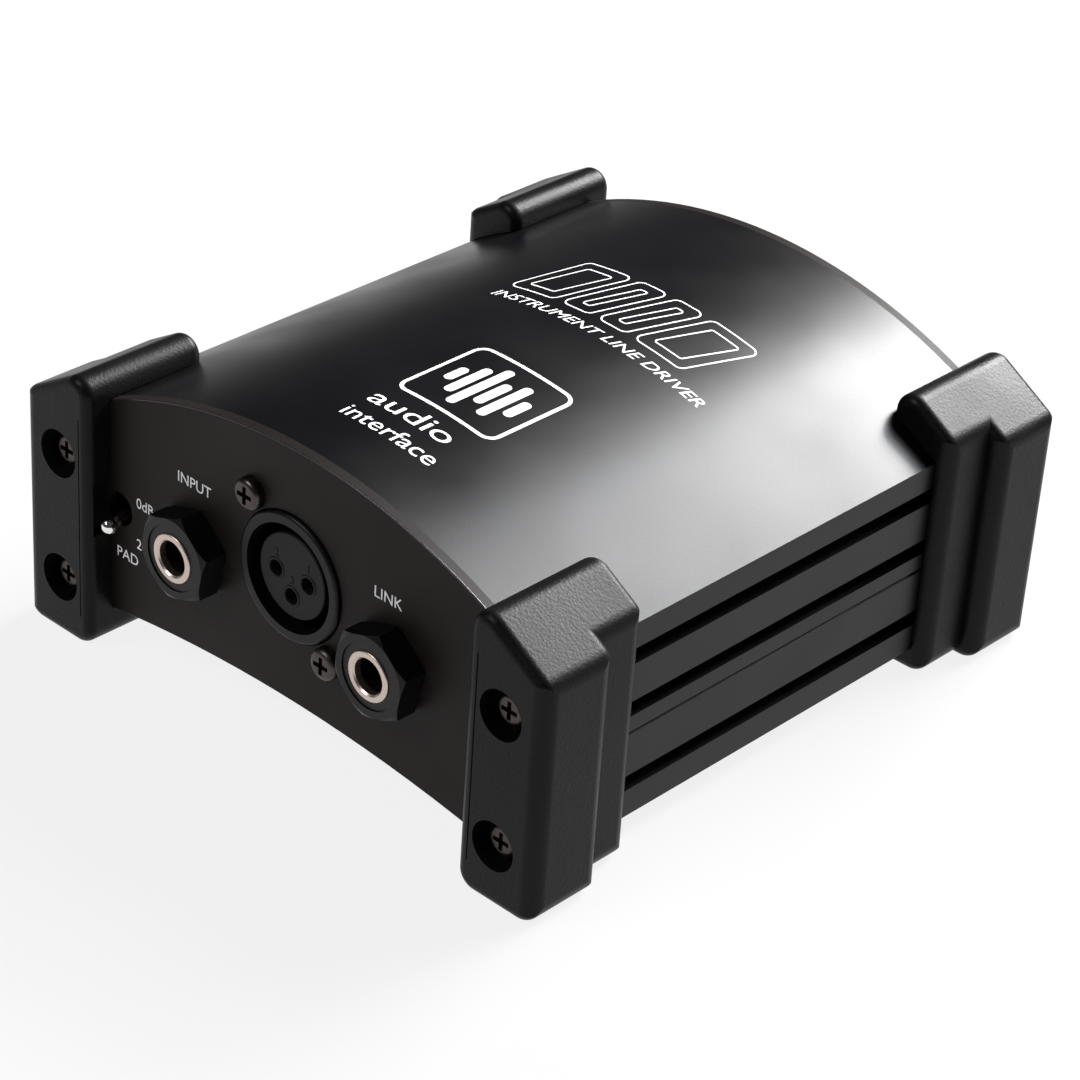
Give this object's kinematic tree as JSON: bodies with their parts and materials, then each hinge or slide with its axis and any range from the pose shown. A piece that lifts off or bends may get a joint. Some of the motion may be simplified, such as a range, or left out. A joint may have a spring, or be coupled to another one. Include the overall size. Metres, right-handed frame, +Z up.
{
  "type": "direct injection box",
  "caption": "Arched audio signal box with corner bumpers, jack and round connector sockets on the front, a pin connector on the rear and toggle switches.",
  "frame": {"origin": "middle of the footprint, on the surface that the bumpers stand on", "axes": "+X to the right seen from the input end, +Y from the input end to the output end, +Z up"},
  "size_m": [0.1244, 0.1306, 0.0588],
  "materials": {
    "case_coating": "satin black powder coat on aluminium",
    "panel_coating": "matte black powder coat on steel",
    "bumper_plastic": "black moulded plastic with a fine leather grain",
    "black_screw": "black nickel",
    "socket_metal": "matte black coated zinc",
    "insert_plastic": "black moulded plastic",
    "contact_metal": "plated contact brass",
    "jack_plastic": "black moulded plastic",
    "nut_plastic": "black moulded plastic with a soft gloss",
    "ring_metal": "warm nickel plate",
    "switch_plastic": "dark moulded plastic",
    "switch_metal": "nickel-plated bushing",
    "lever_chrome": "polished nickel plate",
    "board_laminate": "green solder mask on glass laminate",
    "chip_plastic": "black epoxy",
    "can_sleeve": "dark blue shrink sleeve",
    "film_plastic": "red-brown dipped plastic",
    "core_steel": "laminated steel core",
    "winding": "yellow tape over copper winding"
  },
  "bodies": {
    "box": {"bottom_shell": "case_coating", "bumper_front_left": "bumper_plastic", "bumper_front_right": "bumper_plastic", "bumper_rear_left": "bumper_plastic", "bumper_rear_right": "bumper_plastic", "bumper_screws_front": "black_screw", "bumper_screws_rear": "black_screw", "circuit_board": "board_laminate", "electrolytic_capacitors": "can_sleeve", "film_capacitors": "film_plastic", "front_panel": "panel_coating", "ground_switch_body": "switch_plastic", "ground_switch_bushing": "switch_metal", "ground_switch_terminals": "contact_metal", "input_jack_body": "jack_plastic", "input_jack_contacts": "contact_metal", "input_jack_nut": "nut_plastic", "input_jack_ring": "ring_metal", "link_jack_body": "jack_plastic", "link_jack_contacts": "contact_metal", "link_jack_nut": "nut_plastic", "link_jack_ring": "ring_metal", "op_amp_chips": "chip_plastic", "pad_switch_body": "switch_plastic", "pad_switch_bushing": "switch_metal", "pad_switch_terminals": "contact_metal", "rear_panel": "panel_coating", "resistors": "chip_plastic", "top_shell": "case_coating", "transformer_coil": "winding", "transformer_core": "core_steel", "xlr_input_contacts": "contact_metal", "xlr_input_housing": "socket_metal", "xlr_input_insert": "insert_plastic", "xlr_input_screws": "black_screw", "xlr_output_housing": "socket_metal", "xlr_output_insert": "insert_plastic", "xlr_output_pins": "contact_metal", "xlr_output_screws": "black_screw"},
    "pad_lever": {"pad_switch_lever": "lever_chrome"},
    "pad_rocker": {"pad_switch_rocker": "contact_metal"},
    "ground_lever": {"ground_switch_lever": "lever_chrome"},
    "ground_rocker": {"ground_switch_rocker": "contact_metal"}
  },
  "joints": [
    {"name": "pad_switch", "type": "hinge", "parent": "box", "child": "pad_lever", "pos_m": [-0.043, -0.0513, 0.028], "axis": [-1, 0, 0], "range_deg": [0, 25]},
    {"name": "pad_contact", "type": "hinge", "parent": "box", "child": "pad_rocker", "pos_m": [-0.043, -0.0448, 0.028], "axis": [1, 0, 0], "range_deg": [0, 15]},
    {"name": "ground_switch", "type": "hinge", "parent": "box", "child": "ground_lever", "pos_m": [-0.03, 0.0513, 0.028], "axis": [1, 0, 0], "range_deg": [0, 25]},
    {"name": "ground_contact", "type": "hinge", "parent": "box", "child": "ground_rocker", "pos_m": [-0.03, 0.0448, 0.028], "axis": [-1, 0, 0], "range_deg": [0, 15]}
  ],
  "couplings": [
    {"joint": "pad_contact", "follows": "pad_switch", "ratio": 0.6},
    {"joint": "ground_contact", "follows": "ground_switch", "ratio": 0.6}
  ]
}
